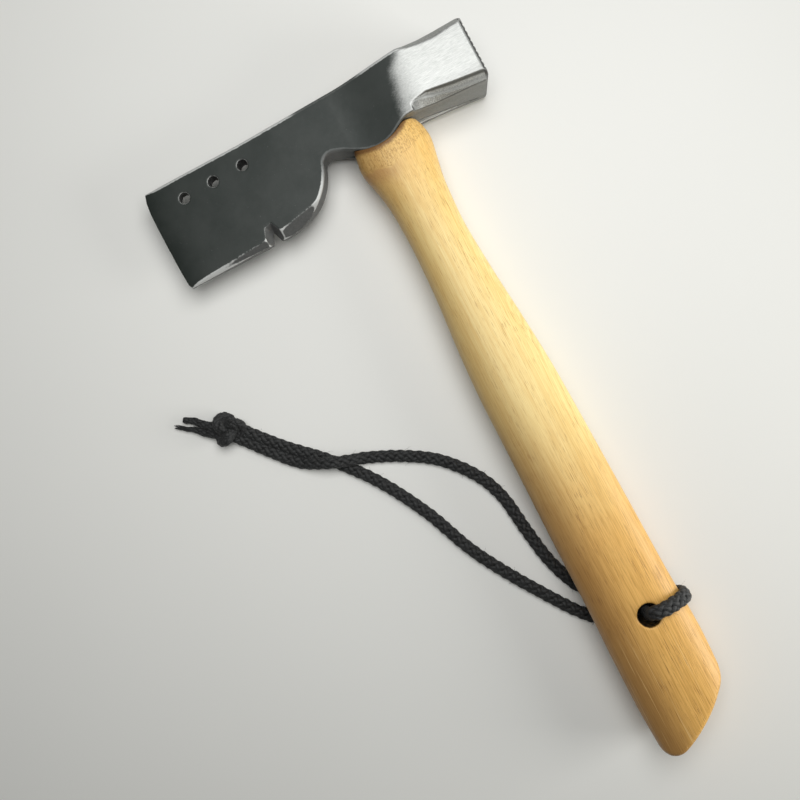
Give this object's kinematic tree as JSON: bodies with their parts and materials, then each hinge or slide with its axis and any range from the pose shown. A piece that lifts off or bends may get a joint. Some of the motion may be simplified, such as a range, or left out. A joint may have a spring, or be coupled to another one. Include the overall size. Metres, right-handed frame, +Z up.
{
  "type": "roofing hatchet",
  "caption": "Roofing hatchet with a forged blade and square hammer poll, oval wooden handle and braided wrist lanyard, lying on its side.",
  "frame": {"origin": "on the surface the tool lies on, under the middle of its outline without the lanyard", "axes": "+Y along the handle from the butt to the top of the head, +X towards the hammer face, -X to the cutting edge, +Z up through the side of the tool"},
  "size_m": [0.198, 0.322, 0.0304],
  "materials": {
    "steel": "dark polished blade, bright ground poll",
    "hickory": "clear lacquer",
    "wedge_wood": "bare end grain",
    "wedge_steel": "rough",
    "cord": "braided"
  },
  "bodies": {
    "root": {"head": "steel", "handle": "hickory", "wooden_wedge": "wedge_wood", "steel_wedges": "wedge_steel", "lanyard_cord": "cord", "lanyard_knot": "cord", "lanyard_tails": "cord"}
  },
  "joints": []
}
